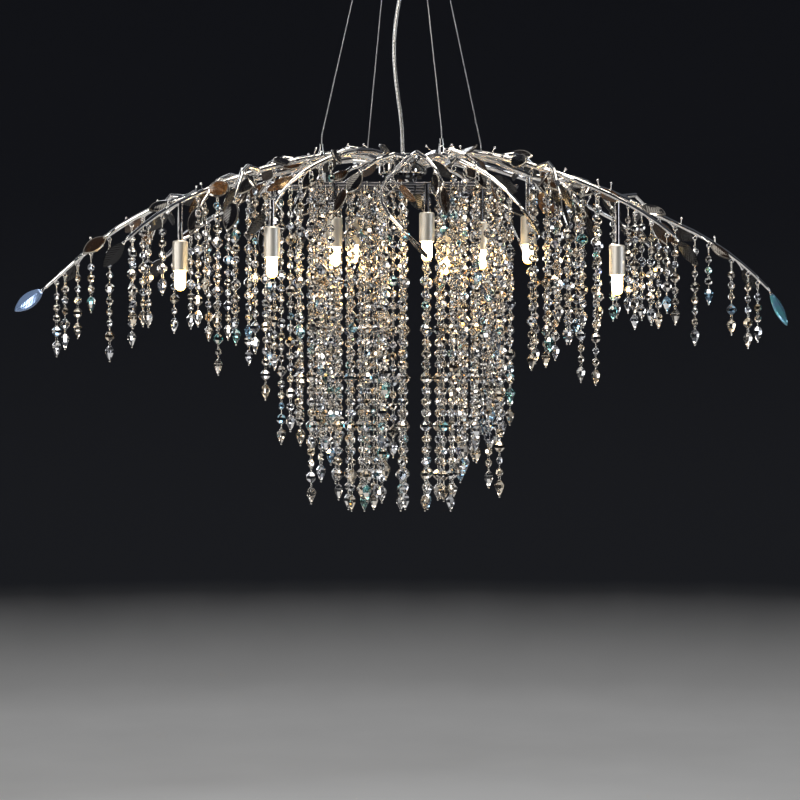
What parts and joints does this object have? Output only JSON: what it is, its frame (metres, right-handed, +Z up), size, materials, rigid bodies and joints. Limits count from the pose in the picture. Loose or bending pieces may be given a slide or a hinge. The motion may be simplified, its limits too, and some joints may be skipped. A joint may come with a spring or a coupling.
{
  "type": "crystal branch chandelier",
  "caption": "Long oval chandelier: drooping chrome branches with smoky glass leaves, lamps and hanging crystal strands, held by four cables.",
  "frame": {"origin": "centre of the ceiling bracket's top face, on the ceiling", "axes": "+X along the long side, +Y to the back, +Z up to the ceiling"},
  "size_m": [1.0274, 0.4328, 0.7513],
  "materials": {
    "chrome": "polished",
    "branch_chrome": "polished, slightly uneven plated castings",
    "zinc_steel": "zinc plated",
    "cable_steel": "stranded stainless wire",
    "clear_cord": "clear sheath over silver conductors",
    "clear_nylon": "translucent",
    "white_nylon": "satin",
    "holder_ceramic": "unglazed",
    "bulb_glass": "glowing warm capsule",
    "smoky_glass": "polished, faceted",
    "clear_crystal": "polished, faceted"
  },
  "bodies": {
    "frame": {"ceiling_bracket": "zinc_steel", "canopy": "chrome", "canopy_cap_nuts": "chrome", "terminal_block": "white_nylon", "cable_grippers": "chrome", "gripper_nuts": "zinc_steel", "cable_ferrules": "chrome", "power_cord": "clear_cord", "cord_bushes": "clear_nylon", "hub_cup": "chrome", "hub_lid": "chrome", "hub_screws": "zinc_steel", "arm_left": "branch_chrome", "arm_right": "branch_chrome", "arms_left_side": "branch_chrome", "arms_right_side": "branch_chrome", "arms_front": "branch_chrome", "arms_back": "branch_chrome", "strand_rack": "branch_chrome", "leaves_left": "smoky_glass", "leaves_right": "smoky_glass", "leaves_front": "smoky_glass", "leaves_back": "smoky_glass", "lamp_cups": "chrome", "lamp_nuts": "zinc_steel", "lamp_sockets": "holder_ceramic", "suspension_cable_1": "cable_steel", "suspension_cable_2": "cable_steel", "suspension_cable_3": "cable_steel", "suspension_cable_4": "cable_steel"},
    "strands_left_outer": {"strands_left_outer": "clear_crystal"},
    "strands_left_inner": {"strands_left_inner": "clear_crystal"},
    "strands_left_front": {"strands_left_front": "clear_crystal"},
    "strands_left_back": {"strands_left_back": "clear_crystal"},
    "strands_right_outer": {"strands_right_outer": "clear_crystal"},
    "strands_right_inner": {"strands_right_inner": "clear_crystal"},
    "strands_right_front": {"strands_right_front": "clear_crystal"},
    "strands_right_back": {"strands_right_back": "clear_crystal"},
    "strands_front_left": {"strands_front_left": "clear_crystal"},
    "strands_front": {"strands_front": "clear_crystal"},
    "strands_front_right": {"strands_front_right": "clear_crystal"},
    "strands_back_left": {"strands_back_left": "clear_crystal"},
    "strands_back_right": {"strands_back_right": "clear_crystal"},
    "strands_row_1": {"strands_row_1": "clear_crystal"},
    "strands_row_2": {"strands_row_2": "clear_crystal"},
    "strands_row_3": {"strands_row_3": "clear_crystal"},
    "strands_row_4": {"strands_row_4": "clear_crystal"},
    "bulb_1": {"bulb_1": "bulb_glass"},
    "bulb_2": {"bulb_2": "bulb_glass"},
    "bulb_3": {"bulb_3": "bulb_glass"},
    "bulb_4": {"bulb_4": "bulb_glass"},
    "bulb_5": {"bulb_5": "bulb_glass"},
    "bulb_6": {"bulb_6": "bulb_glass"},
    "bulb_7": {"bulb_7": "bulb_glass"},
    "bulb_8": {"bulb_8": "bulb_glass"},
    "bulb_9": {"bulb_9": "bulb_glass"},
    "gripper_sleeve_1": {"gripper_sleeve_1": "chrome"},
    "gripper_sleeve_2": {"gripper_sleeve_2": "chrome"},
    "gripper_sleeve_3": {"gripper_sleeve_3": "chrome"},
    "gripper_sleeve_4": {"gripper_sleeve_4": "chrome"}
  },
  "joints": [
    {"name": "swing_left_outer", "type": "hinge", "parent": "frame", "child": "strands_left_outer", "pos_m": [-0.40771, 0.00083, -0.40655], "axis": [0.8078, -0.0619, 0.5862], "range_deg": [-5, 5]},
    {"name": "swing_left_inner", "type": "hinge", "parent": "frame", "child": "strands_left_inner", "pos_m": [-0.2135, -0.00179, -0.32216], "axis": [0.961, 0.1166, 0.2507], "range_deg": [-3, 3]},
    {"name": "swing_left_front", "type": "hinge", "parent": "frame", "child": "strands_left_front", "pos_m": [-0.25462, -0.10698, -0.35001], "axis": [0.8562, 0.2728, 0.4388], "range_deg": [-4, 4]},
    {"name": "swing_left_back", "type": "hinge", "parent": "frame", "child": "strands_left_back", "pos_m": [-0.25567, 0.13296, -0.35376], "axis": [0.8261, -0.3128, 0.4688], "range_deg": [-4, 4]},
    {"name": "swing_right_outer", "type": "hinge", "parent": "frame", "child": "strands_right_outer", "pos_m": [0.39737, -0.00084, -0.39885], "axis": [0.8553, -0.0462, -0.516], "range_deg": [-5, 5]},
    {"name": "swing_right_inner", "type": "hinge", "parent": "frame", "child": "strands_right_inner", "pos_m": [0.242, 0.0035, -0.3289], "axis": [0.9732, 0.0588, -0.2225], "range_deg": [-4, 4]},
    {"name": "swing_right_front", "type": "hinge", "parent": "frame", "child": "strands_right_front", "pos_m": [0.247, -0.11508, -0.3477], "axis": [0.8588, -0.263, -0.4396], "range_deg": [-4, 4]},
    {"name": "swing_right_back", "type": "hinge", "parent": "frame", "child": "strands_right_back", "pos_m": [0.26714, 0.11404, -0.35076], "axis": [0.8603, 0.2907, -0.4189], "range_deg": [-4, 4]},
    {"name": "swing_front_left", "type": "hinge", "parent": "frame", "child": "strands_front_left", "pos_m": [-0.1164, -0.13347, -0.31952], "axis": [-0.6777, -0.551, -0.4869], "range_deg": [-2, 2]},
    {"name": "swing_front", "type": "hinge", "parent": "frame", "child": "strands_front", "pos_m": [-0.02179, -0.1494, -0.35009], "axis": [-0.1015, -0.7933, -0.6003], "range_deg": [-2, 2]},
    {"name": "swing_front_right", "type": "hinge", "parent": "frame", "child": "strands_front_right", "pos_m": [0.09917, -0.14796, -0.32779], "axis": [0.7147, -0.4787, -0.51], "range_deg": [-2, 2]},
    {"name": "swing_back_left", "type": "hinge", "parent": "frame", "child": "strands_back_left", "pos_m": [-0.0884, 0.14606, -0.316], "axis": [-0.6446, 0.5965, -0.4782], "range_deg": [-2, 2]},
    {"name": "swing_back_right", "type": "hinge", "parent": "frame", "child": "strands_back_right", "pos_m": [0.1126, 0.1389, -0.32068], "axis": [0.6628, 0.5669, -0.4891], "range_deg": [-2, 2]},
    {"name": "swing_row_1", "type": "hinge", "parent": "frame", "child": "strands_row_1", "pos_m": [0, -0.054, -0.322], "axis": [1, 0, 0], "range_deg": [-1.2, 1.2]},
    {"name": "swing_row_2", "type": "hinge", "parent": "frame", "child": "strands_row_2", "pos_m": [0, -0.018, -0.322], "axis": [1, 0, 0], "range_deg": [-1.2, 1.2]},
    {"name": "swing_row_3", "type": "hinge", "parent": "frame", "child": "strands_row_3", "pos_m": [0, 0.018, -0.322], "axis": [1, 0, 0], "range_deg": [-1.2, 1.2]},
    {"name": "swing_row_4", "type": "hinge", "parent": "frame", "child": "strands_row_4", "pos_m": [0, 0.054, -0.322], "axis": [1, 0, 0], "range_deg": [-1.2, 1.2]},
    {"name": "bulb_1_pull", "type": "slide", "parent": "frame", "child": "bulb_1", "axis": [0, 0, -1], "range_m": [0, 0.016]},
    {"name": "bulb_2_pull", "type": "slide", "parent": "frame", "child": "bulb_2", "axis": [0, 0, -1], "range_m": [0, 0.016]},
    {"name": "bulb_3_pull", "type": "slide", "parent": "frame", "child": "bulb_3", "axis": [0, 0, -1], "range_m": [0, 0.016]},
    {"name": "bulb_4_pull", "type": "slide", "parent": "frame", "child": "bulb_4", "axis": [0, 0, -1], "range_m": [0, 0.016]},
    {"name": "bulb_5_pull", "type": "slide", "parent": "frame", "child": "bulb_5", "axis": [0, 0, -1], "range_m": [0, 0.016]},
    {"name": "bulb_6_pull", "type": "slide", "parent": "frame", "child": "bulb_6", "axis": [0, 0, -1], "range_m": [0, 0.016]},
    {"name": "bulb_7_pull", "type": "slide", "parent": "frame", "child": "bulb_7", "axis": [0, 0, -1], "range_m": [0, 0.016]},
    {"name": "bulb_8_pull", "type": "slide", "parent": "frame", "child": "bulb_8", "axis": [0, 0, -1], "range_m": [0, 0.016]},
    {"name": "bulb_9_pull", "type": "slide", "parent": "frame", "child": "bulb_9", "axis": [0, 0, -1], "range_m": [0, 0.016]},
    {"name": "gripper_1_release", "type": "slide", "parent": "frame", "child": "gripper_sleeve_1", "axis": [0, 0, 1], "range_m": [0, 0.002], "stiffness_N_per_m": 400, "springref_m": -0.001},
    {"name": "gripper_2_release", "type": "slide", "parent": "frame", "child": "gripper_sleeve_2", "axis": [0, 0, 1], "range_m": [0, 0.002], "stiffness_N_per_m": 400, "springref_m": -0.001},
    {"name": "gripper_3_release", "type": "slide", "parent": "frame", "child": "gripper_sleeve_3", "axis": [0, 0, 1], "range_m": [0, 0.002], "stiffness_N_per_m": 400, "springref_m": -0.001},
    {"name": "gripper_4_release", "type": "slide", "parent": "frame", "child": "gripper_sleeve_4", "axis": [0, 0, 1], "range_m": [0, 0.002], "stiffness_N_per_m": 400, "springref_m": -0.001}
  ]
}
